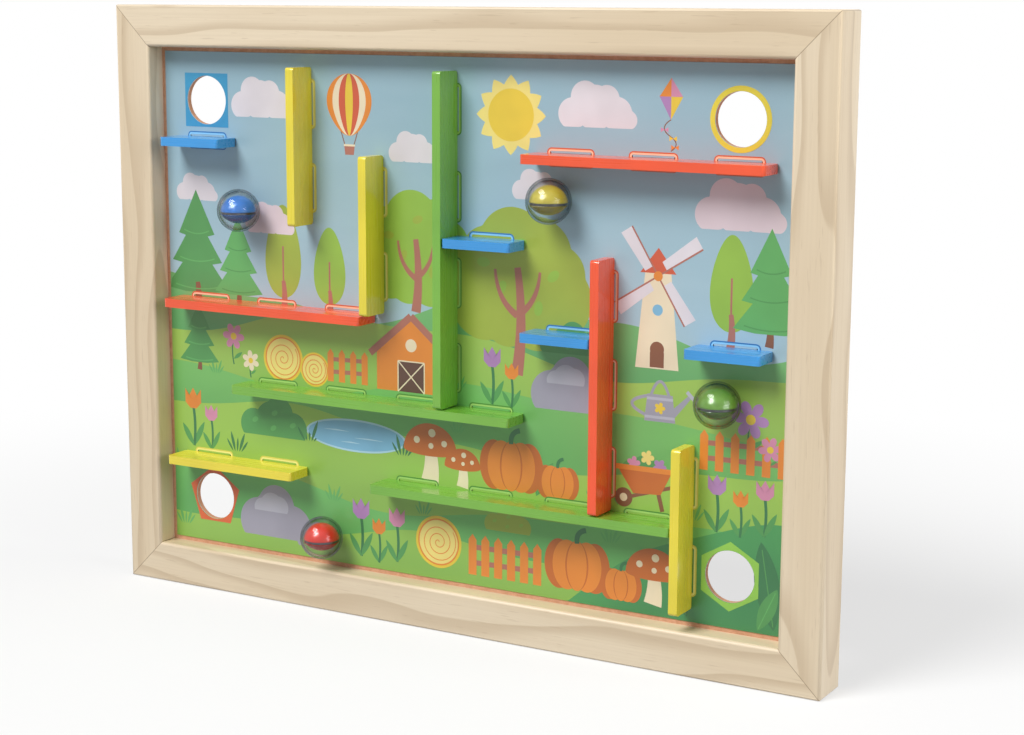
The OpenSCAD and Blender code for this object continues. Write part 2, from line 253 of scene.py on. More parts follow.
# Bands of ground from far to near: height, then amplitude, wave number and phase of two sines,
# colour at the crest, colour at the foot, and how deep the change goes
GROUND = [
    (320, 15, 14, 0.4, 6, 31, 1.2, (116, 180, 110), (96, 164, 98), 60),
    (290, 17, 10, 2.6, 5, 27, 0.3, (158, 194, 86), (138, 182, 84), 90),
    (238, 12, 12, 0.9, 5, 23, 2.2, (118, 184, 98), (104, 172, 92), 60),
    (192, 14, 9, 3.6, 4, 29, 1.0, (156, 196, 84), (140, 184, 80), 80),
    (124, 12, 11, 5.2, 5, 25, 0.6, (110, 182, 98), (96, 168, 90), 50),
    (82, 9, 13, 1.7, 4, 30, 2.9, (148, 192, 84), (132, 178, 78), 40),
    (0, 150, 5.5, -0.376, 3, 40, 0.0, (74, 152, 86), (62, 134, 78), 70),
]


def board_finish():
    """Brown fibreboard: matted short fibres, lighter and darker specks, dull face."""
    f = Finish("fibreboard", ink_rgb(210, 156, 124), 0.7)
    mat_of = f.cloudy(f.place(), 160.0, 4.0, 0.65)
    speck = f.cloudy(f.place(), 1500.0, 1.0)
    body = f.mix(f.spread(mat_of, 0.3, 0.7), ink_rgb(202, 147, 114), ink_rgb(219, 167, 134))
    f.colour(f.mix(f.spread(speck, 0.62, 0.78, 0.0, 0.3), body, ink_rgb(160, 106, 78)))
    f.relief(mat_of, 0.0002, 0.5)
    return f.mat


def zinc(name, colour, rough):
    """Zinc plate: bright metal with a crystal mottle and light scuffs."""
    f = Finish(name, colour, rough, Metallic=1.0)
    mottle = f.add("ShaderNodeTexVoronoi", {"Vector": f.place(), "Scale": 320.0}).outputs["Color"]
    grey = f.add("ShaderNodeRGBToBW", {0: mottle}).outputs[0]
    scuff = f.cloudy(f.place(scale=(30, 30, 600)), 1.0, 3.0)
    f.colour(f.mix(f.spread(grey, 0.2, 0.8), tone(colour, 0.85), tone(colour, 1.08)))
    f.gloss(f.spread(scuff, 0.3, 0.75, rough * 0.8, rough * 1.5, "LINEAR"))
    f.relief(scuff, 0.00003, 0.4)
    return f.mat


def dowel_finish():
    """Beech end grain and side grain: short dark flecks along the peg."""
    f = Finish("beech_dowel", ink_rgb(214, 184, 146), 0.6)
    fleck = f.cloudy(f.place(scale=(300, 900, 300)), 1.0, 2.0)
    f.colour(f.mix(f.spread(fleck, 0.5, 0.75), ink_rgb(214, 184, 146), ink_rgb(176, 138, 98)))
    f.relief(fleck, 0.0001, 0.4)
    return f.mat


def clear_plastic():
    """Polished smoke-tinted acrylic with a few hair scratches. The tint deepens where the surface is
    seen edge on, the wall darkens what is seen along it, and lamps reach what lies inside."""
    f = Finish("clear_acrylic", (0.9, 0.92, 0.93, 1.0), 0.02, IOR=1.06, Transmission_Weight=1.0,
               Coat_Weight=0.4, Coat_Roughness=0.03)
    hair = f.cloudy(f.place(scale=(60, 60, 900)), 1.0, 2.0)
    f.gloss(f.spread(hair, 0.62, 0.8, 0.0, 0.06, "LINEAR"))
    edge_on = f.add("ShaderNodeLayerWeight", {"Blend": 0.5}).outputs["Facing"]
    f.colour(f.mix(f.spread(edge_on, 0.3, 0.95), (0.93, 0.94, 0.94, 1.0), (0.36, 0.35, 0.33, 1.0)))
    smoke = f.add("ShaderNodeVolumeAbsorption", {"Color": (0.5, 0.55, 0.57, 1.0), "Density": 45.0})
    f.tree.links.new(smoke.outputs[0], f.tree.nodes["Material Output"].inputs["Volume"])
    rays = f.add("ShaderNodeLightPath").outputs
    let_by = f.add("ShaderNodeBsdfTransparent", {"Color": (0.93, 0.94, 0.95, 1.0)}).outputs[0]
    lamp = f.sum("MAXIMUM", rays["Is Shadow Ray"], rays["Is Diffuse Ray"])
    f.surface(f.add("ShaderNodeMixShader", {0: lamp, 1: f.shader.outputs[0], 2: let_by}))
    return f.mat


def core_plastic(name, colour):
    """Glossy tinted plastic dome inside a ball: deep colour with soft swirls of the moulding."""
    f = Finish(name, colour, 0.3, Coat_Weight=0.6, Coat_Roughness=0.06)
    swirl = f.cloudy(f.place(scale=(1, 1, 2)), 70.0, 3.0, 0.5, 1.2)
    f.colour(f.mix(f.spread(swirl, 0.3, 0.7), tone(colour, 0.88), tone(colour, 1.08)))
    return f.mat


def bowl_plastic(name, colour):
    """See-through tinted bowl under the magnet, deeper than the dome: its darker colour is partly a deeper
    tint and partly painted shade of the ball's underside.
    """
    f = Finish(name, colour, 0.08, IOR=1.4, Transmission_Weight=0.35)
    swirl = f.cloudy(f.place(), 90.0, 2.0)
    f.gloss(f.spread(swirl, 0.3, 0.8, 0.04, 0.14, "LINEAR"))
    return f.mat


# ---------------------------------------------------------------- surfaces

def grid_quads(rows, cols, closed):
    """Quads between neighbouring rows and columns of a grid of points; the columns may close up."""
    i, j = np.meshgrid(np.arange(rows - 1), np.arange(cols if closed else cols - 1), indexing="ij")
    k = (j + 1) % cols
    return np.stack([i * cols + j, (i + 1) * cols + j, (i + 1) * cols + k, i * cols + k], -1).reshape(-1, 4)


def mesh_piece(name, points, quads, corner=40.0):
    """Makes the object from points in millimetres and quads. Points that meet, as at a pole or a
    tip, are merged, and the faces that this closes up go with them."""
    points = np.asarray(points, float).reshape(-1, 3)
    key = np.round(points / 1e-4).astype(np.int64)
    _, first, where = np.unique(key, axis=0, return_index=True, return_inverse=True)
    where = where.reshape(-1)
    quads = where[np.asarray(quads)]
    faces = [list(dict.fromkeys(q)) for q in quads.tolist()]
    faces = [q for q in faces if len(q) > 2]
    mesh = bpy.data.meshes.new(name)
    mesh.from_pydata((points[first] * MM).tolist(), [], faces)
    mesh.validate()
    mesh.polygons.foreach_set("use_smooth", np.ones(len(mesh.polygons), bool))
    mesh.set_sharp_from_angle(angle=math.radians(corner))
    mesh.update()
    piece = bpy.data.objects.new(name, mesh)
    stage.collection.objects.link(piece)
    return piece


def dress(piece, material, body):
    piece.data.materials.clear()
    piece.data.materials.append(material)
    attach(piece, body)
    return piece


def turned(sections, centre, steps=96):
    """Surfaces of revolution about the upright line through centre. Each section is a closed loop
    or a run from axis to axis of (radius, height), followed anticlockwise; point = centre +
    (r cos a, r sin a, h)."""
    a = np.linspace(0, TURN, steps, endpoint=False)
    points, quads, count = [], [], 0
    for section in sections:
        r, h = np.asarray(section, float).T
        p = np.stack([np.outer(r, np.cos(a)), np.outer(r, np.sin(a)), np.outer(h, np.ones(steps))], -1)
        points.append((p + np.asarray(centre)).reshape(-1, 3))
        quads.append(grid_quads(len(r), steps, True)[:, ::-1] + count)
        count += len(r) * steps
    return np.concatenate(points), np.concatenate(quads)


def arc_run(radius, a0, a1, steps, height=0.0):
    """Points (r cos a, height + r sin a) from angle a0 to a1 in degrees, r never below zero."""
    a = np.radians(np.linspace(a0, a1, steps))
    return np.stack([np.maximum(0.0, radius * np.cos(a)), height + radius * np.sin(a)], -1)


# ---------------------------------------------------------------- the printed sheet

INKS = {
    "cloud_white": (226, 219, 224), "cloud_blush": (228, 210, 216), "sun_gold": (232, 200, 66),
    "sun_pale": (240, 220, 128), "leaf_olive": (160, 178, 68), "leaf_green": (148, 188, 72),
    "leaf_dark": (84, 152, 84), "leaf_teal": (98, 172, 96), "leaf_deep": (58, 120, 74),
    "bark_rose": (176, 112, 96), "bark_brown": (134, 84, 58), "orange": (228, 138, 54),
    "orange_deep": (198, 108, 44), "cream": (238, 222, 190), "stone": (160, 158, 172),
    "stone_pale": (184, 184, 196), "lilac": (176, 132, 184), "pink": (212, 142, 172),
    "water": (128, 184, 214), "water_pale": (176, 214, 230),
    "door_dark": (92, 60, 48), "roof_red": (206, 92, 62),
}
printed = {ink: ([], [], 0) for ink in INKS}


def lay(ink, points, quads):
    """Adds a patch of one ink; it is trimmed to the sheet."""
    all_points, all_quads, count = printed[ink]
    points = points.reshape(-1, 3).copy()
    points[:, 0] = np.clip(points[:, 0], SHEET_X[0] + TRIM, SHEET_X[1] - TRIM)
    points[:, 2] = np.clip(points[:, 2], SHEET_Z[0] + TRIM, SHEET_Z[1] - TRIM)
    all_points.append(points)
    all_quads.append(quads + count)
    printed[ink] = (all_points, all_quads, count + len(points))


lifted = [0.0]


def lift_of(layer):
    """Height of a layer of ink; each patch stands a hair off the others, so that none share a plane."""
    lifted[0] = (lifted[0] + GOLDEN) % 1.0
    return layer + 0.85 * lifted[0]


def patch(ink, line, layer, middle=None):
    """Flat ink inside a closed line that can be seen whole from its middle: point = middle +
    s (line - middle), s from 0 to 1, and a last ring turned down to the sheet."""
    line = np.asarray(line, float)
    middle = line.mean(0) if middle is None else np.asarray(middle, float)
    if np.sum(line[:, 0] * np.roll(line[:, 1], -1) - np.roll(line[:, 0], -1) * line[:, 1]) < 0:
        line = line[::-1]
    layer = lift_of(layer)
    s = np.array([0.0, 0.6, 1.0, 1.0])[:, None, None]
    flat = middle + s * (line - middle)
    y = SHEET_Y - np.array([1, 1, 1, -0.5])[:, None] * LAYER * np.array([layer, layer, layer, 1])[:, None]
    points = np.stack([flat[..., 0], np.broadcast_to(y, flat.shape[:2]), flat[..., 1]], -1)
    lay(ink, points, grid_quads(4, len(line), True))


def band(ink, path, width, layer, closed=False):
    """A stripe of ink along a path: point = path + t half-width across it, its edges turned down
    to the sheet. The width may change along the path."""
    path, layer = np.asarray(path, float), lift_of(layer)
    if closed:
        along = np.roll(path, -1, 0) - np.roll(path, 1, 0)
    else:
        along = np.gradient(path, axis=0)
    along /= np.linalg.norm(along, axis=1)[:, None]
    across = np.stack([-along[:, 1], along[:, 0]], -1)
    half = np.broadcast_to(np.asarray(width, float) / 2, (len(path),))[:, None, None]
    t = np.array([-1.0, -1.0, 1.0, 1.0])[None, :, None]
    flat = path[:, None, :] + t * half * across[:, None, :]
    y = SHEET_Y - LAYER * np.array([-0.5, layer, layer, -0.5])
    points = np.stack([flat[..., 0], np.broadcast_to(y, flat.shape[:2]), flat[..., 1]], -1)
    if closed:
        points = np.concatenate([points, points[:1]])
    lay(ink, points, grid_quads(len(points), 4, False)[:, ::-1])


def ring_line(x, z, rx, rz=None, turn=0.0, n=48):
    """Ellipse: (rx cos a, rz sin a) turned about its middle."""
    a = np.linspace(0, TURN, n, endpoint=False)
    p = np.stack([rx * np.cos(a), (rz or rx) * np.sin(a)], -1)
    c, s = math.cos(math.radians(turn)), math.sin(math.radians(turn))
    return p @ np.array([[c, s], [-s, c]]) + (x, z)


def lobe_line(x, z, lobes, foot=None, n=180):
    """Outline of circles that overlap round one middle: at each angle the farthest crossing of the
    ray with any circle, r = d cos(a - b) + sqrt(R^2 - d^2 sin(a - b)^2), cut level at the foot."""
    a = np.linspace(0, TURN, n, endpoint=False)
    far = np.zeros(n)
    for lx, lz, radius in lobes:
        d, b = math.hypot(lx, lz), math.atan2(lz, lx)
        under = radius ** 2 - (d * np.sin(a - b)) ** 2
        hit = d * np.cos(a - b) + np.sqrt(np.maximum(under, 0))
        far = np.maximum(far, np.where(under > 0, hit, 0))
    p = np.stack([far * np.cos(a), far * np.sin(a)], -1)
    if foot is not None:
        p[:, 1] = np.maximum(p[:, 1], foot)
    return p + (x, z)


def corner_line(points, per=6):
    """Closed straight-sided outline through the corners, with even steps along each side."""
    p = np.asarray(points, float)
    t = np.linspace(0, 1, per, endpoint=False)[None, :, None]
    return (p[:, None] + t * (np.roll(p, -1, 0) - p)[:, None]).reshape(-1, 2)


def petal_line(x, z, inner, outer, count, turn=0.0, n=120):
    """Flower outline: r = inner + (outer - inner) |cos(count a / 2)|^0.7."""
    a = np.linspace(0, TURN, n, endpoint=False)
    r = inner + (outer - inner) * np.abs(np.cos(count * (a + turn) / 2)) ** 0.7
    return np.stack([x + r * np.cos(a), z + r * np.sin(a)], -1)


def bent_path(points, n=16):
    """Smooth curve through three points: the parabola with the middle point at its half."""
    p0, p1, p2 = (np.asarray(p, float) for p in points)
    t = np.linspace(0, 1, n)[:, None]
    ctrl = 2 * p1 - (p0 + p2) / 2
    return (1 - t) ** 2 * p0 + 2 * t * (1 - t) * ctrl + t ** 2 * p2


def spots(x, z, size, shares):
    """Points given as shares of a motif's size, from its own middle or foot."""
    return [(x + across * size, z + up * size) for across, up in shares]


def plate(ink, x, z, size, shares, layer, per=6):
    patch(ink, corner_line(spots(x, z, size, shares), per), layer)


def stripe(ink, x, z, size, shares, width, layer):
    band(ink, spots(x, z, size, shares), width, layer)


def curve(ink, x, z, size, shares, width, layer):
    band(ink, bent_path(spots(x, z, size, shares)), width, layer)


def cloud(x, z, s, ink):
    lobes = [(0, 0.02 * s, 0.24 * s), (-0.27 * s, -0.05 * s, 0.17 * s), (0.26 * s, -0.04 * s, 0.18 * s),
             (-0.12 * s, 0.13 * s, 0.17 * s), (0.14 * s, 0.11 * s, 0.15 * s), (0.4 * s, -0.1 * s, 0.1 * s)]
    patch(ink, lobe_line(x, z, lobes, foot=-0.19 * s), 1, (x, z))


def sun(x, z, r):
    a = np.linspace(0, TURN, 144, endpoint=False)
    spike = np.abs(((a * 12 / TURN) % 1.0) * 2 - 1)
    reach = r * (1.18 + 0.34 * spike)
    patch("sun_pale", np.stack([x + reach * np.cos(a), z + reach * np.sin(a)], -1), 1, (x, z))
    patch("sun_gold", ring_line(x, z, r, n=72), 2)


def hot_air_balloon(x, z, r):
    a = np.linspace(0, TURN, 96, endpoint=False)
    drop = 1 + 0.28 * np.maximum(0, -np.sin(a)) ** 3
    for ink, wide, layer in (("orange", 1.0, 2), ("cream", 0.74, 3), ("roof_red", 0.46, 4),
                             ("sun_gold", 0.17, 5)):
        patch(ink, np.stack([x + wide * r * np.cos(a), z + r * drop * np.sin(a)], -1), layer, (x, z))
    for side in (-1, 1):
        stripe("bark_brown", x, z, r, [(side * 0.42, -0.98), (side * 0.2, -1.62)], 1.1, 1)
    plate("bark_rose", x, z, r, [(-0.24, -1.6), (0.24, -1.6), (0.19, -1.98), (-0.19, -1.98)], 2)
    stripe("cream", x, z, r, [(-0.25, -1.63), (0.25, -1.63)], 2.0, 3)


def kite(x, z, s):
    top, right, low, left, cross = spots(x, z, s, [(0, 1), (0.62, 0.1), (0, -1), (-0.62, 0.1), (0, 0.1)])
    for ink, a, b in (("pink", top, right), ("orange", top, left), ("sun_gold", right, low),
                      ("lilac", left, low)):
        patch(ink, corner_line([a, b, cross]), 2)
    upper = bent_path(spots(x, z, s, [(0, -1), (-0.34, -1.4), (0, -1.8)]))
    lower = bent_path(spots(x, z, s, [(0, -1.8), (0.3, -2.15), (0.02, -2.5)]))
    tail = np.concatenate([upper, lower[1:]])
    band("bark_brown", tail, 1.0, 1)
    for at, ink in ((9, "pink"), (17, "sun_gold"), (26, "orange")):
        for side in (-1, 1):
            plate(ink, *tail[at], s, [(0, 0), (side * 0.2, 0.12), (side * 0.2, -0.12)], 2)


def trunk(x, z, height, width, ink="bark_rose"):
    line = np.array([(x, z), (x + 0.04 * height, z + 0.5 * height), (x, z + height)])
    band(ink, bent_path(line), np.linspace(width, 0.55 * width, 16), 2)


def round_tree(x, z, height, spread, ink, mark):
    top = z + height - 0.52 * spread
    lobes = [(0, 0, 0.42 * spread)]
    for k in range(9):
        a = TURN * k / 9 + 0.3
        reach = (0.2 + 0.03 * (k % 3)) * spread
        lobes.append((0.32 * spread * math.cos(a), 0.24 * spread * math.sin(a), reach))
    patch(ink, lobe_line(x, top, lobes), 1, (x, top))
    trunk(x, z, top - z + 0.1 * spread, 0.09 * spread)
    for side in (-1, 1):
        curve("bark_rose", x, top, spread, [(0, -0.22), (side * 0.12, -0.1), (side * 0.17, 0.08)],
              np.linspace(0.05, 0.02, 16) * spread, 3)
    for k, (dx, dz) in enumerate(((-0.26, 0.12), (0.02, 0.26), (0.27, 0.06), (-0.12, -0.04), (0.16, -0.16))):
        patch(mark, ring_line(x + dx * spread, top + dz * spread, 0.05 * spread, 0.032 * spread, 20 * k), 2)


def fir_tree(x, z, height, width, ink, mark):
    trunk(x, z, 0.2 * height, 0.12 * width, "bark_brown")
    for k in range(3):
        low, high = z + (0.14 + 0.24 * k) * height, z + (0.56 + 0.22 * k) * height
        half = width * (0.5 - 0.11 * k)
        sag, rise = low - 0.03 * height, low + 0.03 * height
        swell = [(x - half, low), (x - 0.4 * half, sag), (x + 0.4 * half, sag), (x + half, low), (x, high)]
        patch(ink, corner_line(swell), 2 + k, (x, low + 0.12 * height))
        band(mark, bent_path([(x - 0.7 * half, rise), (x, low), (x + 0.7 * half, rise)]), 1.3, 3 + k)


def poplar(x, z, height, width, ink):
    trunk(x, z, 0.3 * height, 0.2 * width)
    a = np.linspace(0, TURN, 72, endpoint=False)
    middle = z + 0.57 * height
    r = 0.43 * height * np.sin(a)
    side = x + 0.5 * width * np.cos(a) * (1 - 0.25 * np.sin(a))
    patch(ink, np.stack([side, middle + r], -1), 1, (x, middle))
    band("bark_rose", [(x, z + 0.2 * height), (x, z + 0.62 * height)], 2.0, 2)


def bush(x, z, w, ink, mark):
    lobes = [(0, 0, 0.26 * w), (-0.28 * w, -0.04 * w, 0.19 * w), (0.28 * w, -0.05 * w, 0.2 * w),
             (0.08 * w, 0.12 * w, 0.2 * w)]
    patch(ink, lobe_line(x, z, lobes, foot=-0.16 * w), 2, (x, z))
    for dx, dz in ((-0.26, 0.02), (0.02, 0.12), (0.28, 0.0), (0.0, -0.06)):
        patch(mark, ring_line(x + dx * w, z + dz * w, 0.045 * w, 0.03 * w, 30), 3)


def windmill(x, z, h):
    plate("cream", x, z, h, [(-0.17, 0), (0.17, 0), (0.1, 0.7), (-0.1, 0.7)], 2)
    plate("roof_red", x, z, h, [(-0.14, 0.68), (0.14, 0.68), (0, 0.86)], 3)
    arch = lobe_line(x, z + 0.1 * h, [(0, 0.04 * h, 0.055 * h)], foot=-0.1 * h)
    patch("bark_brown", arch, 3, (x, z + 0.1 * h))
    stripe("bark_brown", x, z, h, [(0, 0.01), (0, 0.12)], 0.11 * h, 3)
    patch("water", ring_line(x, z + 0.42 * h, 0.04 * h), 3)
    hub = np.array([x, z + 0.66 * h])
    for k in range(4):
        a = TURN * (k + 0.35) / 4
        out, side = np.array([math.cos(a), math.sin(a)]), np.array([-math.sin(a), math.cos(a)])
        root, tip = hub + 0.08 * h * out, hub + 0.4 * h * out
        band("bark_rose", [hub, tip], 1.6, 5)
        patch("cloud_white", corner_line([root, tip, tip + 0.1 * h * side, root + 0.07 * h * side]), 4)
    patch("orange", ring_line(hub[0], hub[1], 0.035 * h), 6)


def barn(x, z, w):
    plate("orange", x, z, w, [(-0.5, 0), (0.5, 0), (0.5, 0.5), (0, 0.9), (-0.5, 0.5)], 2, 10)
    for side in (-1, 1):
        stripe("bark_rose", x, z, w, [(side * 0.6, 0.44), (0, 0.94)], 0.09 * w, 4)
    left_foot, right_foot, right_top, left_top = door = [(-0.19, 0), (0.19, 0), (0.19, 0.38), (-0.19, 0.38)]
    plate("door_dark", x, z, w, door, 3)
    for a, b in ((left_foot, right_top), (left_top, right_foot), (left_top, right_top), (left_foot, left_top),
                 (right_foot, right_top)):
        stripe("cream", x, z, w, (a, b), 1.3, 4)
    patch("cream", ring_line(x, z + 0.58 * w, 0.08 * w), 3)


def hay_bale(x, z, r):
    patch("sun_gold", ring_line(x, z, r), 2)
    patch("orange", ring_line(x, z, 0.9 * r), 3)
    patch("sun_pale", ring_line(x, z, 0.84 * r), 4)
    t = np.linspace(0.4, 3.1 * TURN, 80)
    band("orange", np.stack([x + 0.04 * r * t * np.cos(t), z + 0.04 * r * t * np.sin(t)], -1), 0.9, 5)


def pumpkin(x, z, r):
    for dx, wide, ink, layer in ((-0.62, 0.5, "orange_deep", 2), (0.62, 0.5, "orange_deep", 2),
                                 (-0.34, 0.5, "orange", 3), (0.34, 0.5, "orange", 3),
                                 (0, 0.4, "orange_deep", 4), (0, 0.34, "orange", 5)):
        patch(ink, ring_line(x + dx * r, z, wide * r, 0.78 * r), layer)
    curve("leaf_deep", x, z, r, [(0, 0.7), (0.05, 1.0), (0.3, 1.15)], 0.16 * r, 6)


def toadstool(x, z, h):
    curve("cream", x, z, h, [(0, 0), (0.03, 0.3), (0, 0.6)], np.linspace(0.34, 0.2, 16) * h, 2)
    a = np.linspace(0, math.pi, 40)
    cap = np.stack([x + 0.52 * h * np.cos(a), z + 0.52 * h + 0.46 * h * np.sin(a)], -1)
    foot = np.stack([x - 0.52 * h * np.cos(a), z + 0.52 * h - 0.1 * h * np.sin(a)], -1)[1:-1]
    patch("orange_deep", np.concatenate([cap, foot]), 3, (x, z + 0.66 * h))
    for dx, dz, r in ((-0.26, 0.68, 0.06), (0.04, 0.82, 0.07), (0.28, 0.66, 0.055), (0.02, 0.6, 0.05)):
        patch("cream", ring_line(x + dx * h, z + dz * h, r * h), 4)


def leaf(x, z, length, angle, ink, width=0.3, layer=2, rib=None):
    """Pointed leaf: half-width = width * length * sin(pi t)^0.8 along a straight rib."""
    t = np.linspace(0, 1, 24)
    c, s = math.cos(math.radians(angle)), math.sin(math.radians(angle))
    path = np.stack([x + length * t * c, z + length * t * s], -1)
    band(ink, path, np.maximum(width * length * np.sin(math.pi * t) ** 0.8, 0.0), layer)
    if rib:
        band(rib, path[1:-2], 1.0, layer + 1)


def tulip(x, z, h, ink):
    curve("leaf_deep", x, z, h, [(0, 0), (0.03, 0.35), (0, 0.7)], 0.055 * h, 2)
    leaf(x, z, 0.5 * h, 62, "leaf_dark", 0.22)
    leaf(x, z, 0.45 * h, 122, "leaf_dark", 0.24)
    w, b = 0.17 * h, z + 0.66 * h
    head = [(x - w, b + 0.34 * h), (x - w, b + 0.1 * h), (x - 0.4 * w, b), (x + 0.4 * w, b),
            (x + w, b + 0.1 * h), (x + w, b + 0.34 * h), (x + 0.5 * w, b + 0.22 * h), (x, b + 0.36 * h),
            (x - 0.5 * w, b + 0.22 * h)]
    patch(ink, corner_line(head, 4), 3, (x, b + 0.12 * h))


def daisy(x, z, r, ink, stem=0.0):
    if stem:
        curve("leaf_deep", x, z, stem, [(0, -1), (-0.06, -0.5), (0, 0)], 1.6, 1)
        leaf(x, z - 0.8 * stem, 0.45 * stem, 35, "leaf_dark", 0.3)
    patch(ink, petal_line(x, z, 0.42 * r, r, 6, 0.3 * x), 3, (x, z))
    patch("sun_gold", ring_line(x, z, 0.27 * r), 4)


def boulder(x, z, w):
    lobes = [(0, 0, 0.3 * w), (-0.2 * w, -0.06 * w, 0.26 * w), (0.24 * w, -0.08 * w, 0.24 * w),
             (0.02 * w, 0.12 * w, 0.24 * w)]
    patch("stone", lobe_line(x, z, lobes, foot=-0.22 * w), 2, (x, z))
    x, z = x - 0.04 * w, z + 0.12 * w
    lobes = [(0, 0, 0.15 * w), (-0.12 * w, -0.03 * w, 0.11 * w), (0.1 * w, 0.0, 0.12 * w)]
    patch("stone_pale", lobe_line(x, z, lobes, foot=-0.06 * w), 3, (x, z))


def fence(x0, x1, z, h, count):
    for level in (0.3, 0.68):
        band("bark_rose", [(x0 - 3, z + level * h), (x1 + 3, z + (level + 0.03) * h)], 0.13 * h, 2)
    for x in np.linspace(x0, x1, count):
        w = 0.11 * h
        picket = [(x - w, z), (x + w, z), (x + w, z + 0.86 * h), (x, z + h), (x - w, z + 0.86 * h)]
        patch("orange", corner_line(picket), 3, (x, z + 0.45 * h))


def pond(x, z, w, h):
    patch("water_pale", ring_line(x, z, w / 2 + 2.5, h / 2 + 2), 1)
    patch("water", ring_line(x, z, w / 2, h / 2), 2)
    for dx, dz, long in ((-0.2, 0.12, 0.26), (0.14, -0.08, 0.3), (-0.05, -0.26, 0.2)):
        level = z + dz * h
        ripple = [(x + (dx - long / 2) * w, level), (x + dx * w, level + 0.4),
                  (x + (dx + long / 2) * w, level)]
        band("water_pale", ripple, [0.2, 1.5, 0.2], 3)


def tuft(x, z, h, ink):
    for k, lean in enumerate((-32, -14, 4, 20, 36)):
        leaf(x + (k - 2) * 0.12 * h, z, h * (0.7 + 0.3 * (k % 2)), 90 - lean, ink, 0.16, 2)


def watering_can(x, z, w):
    curve("stone", x, z, w, [(-0.27, 0.1), (-0.56, 0.3), (-0.24, 0.46)], 0.06 * w, 1)
    curve("stone", x, z, w, [(-0.18, 0.48), (0, 0.74), (0.18, 0.48)], 0.055 * w, 1)
    stripe("stone", x, z, w, [(0.2, 0.1), (0.6, 0.52)], [0.15 * w, 0.07 * w], 1)
    stripe("stone_pale", x, z, w, [(0.53, 0.6), (0.69, 0.45)], 0.07 * w, 2)
    plate("stone", x, z, w, [(-0.31, 0), (0.31, 0), (0.25, 0.5), (-0.25, 0.5)], 2)
    for level in (0.08, 0.42):
        half = 0.31 - 0.12 * level
        stripe("stone_pale", x, z, w, [(-half, level), (half, level)], 0.05 * w, 3)
    patch("sun_gold", petal_line(x, z + 0.25 * w, 0.05 * w, 0.11 * w, 5), 3, (x, z + 0.25 * w))


def wheelbarrow(x, z, w):
    heap = (x - 0.04 * w, z + 0.52 * w)
    lobes = [(0, 0, 0.2 * w), (-0.2 * w, -0.02 * w, 0.14 * w), (0.19 * w, -0.02 * w, 0.15 * w)]
    patch("leaf_dark", lobe_line(*heap, lobes), 1, heap)
    for dx, dz, ink in ((-0.2, 0.6, "pink"), (0.0, 0.7, "sun_pale"), (0.18, 0.6, "lilac")):
        middle = (x + dx * w, z + dz * w)
        patch(ink, petal_line(*middle, 0.05 * w, 0.1 * w, 5, dx), 2, middle)
    stripe("bark_brown", x, z, w, [(-0.34, 0.12), (0.62, 0.42)], 0.05 * w, 3)
    stripe("bark_brown", x, z, w, [(0.16, 0.26), (0.23, 0)], 0.06 * w, 3)
    plate("orange_deep", x, z, w, [(-0.44, 0.54), (-0.2, 0.2), (0.2, 0.22), (0.36, 0.54)], 4)
    stripe("orange", x, z, w, [(-0.47, 0.54), (0.39, 0.54)], 0.07 * w, 5)
    for ink, reach, layer in (("bark_brown", 0.13, 4), ("cream", 0.055, 5)):
        patch(ink, ring_line(x - 0.34 * w, z + 0.13 * w, reach * w), layer)


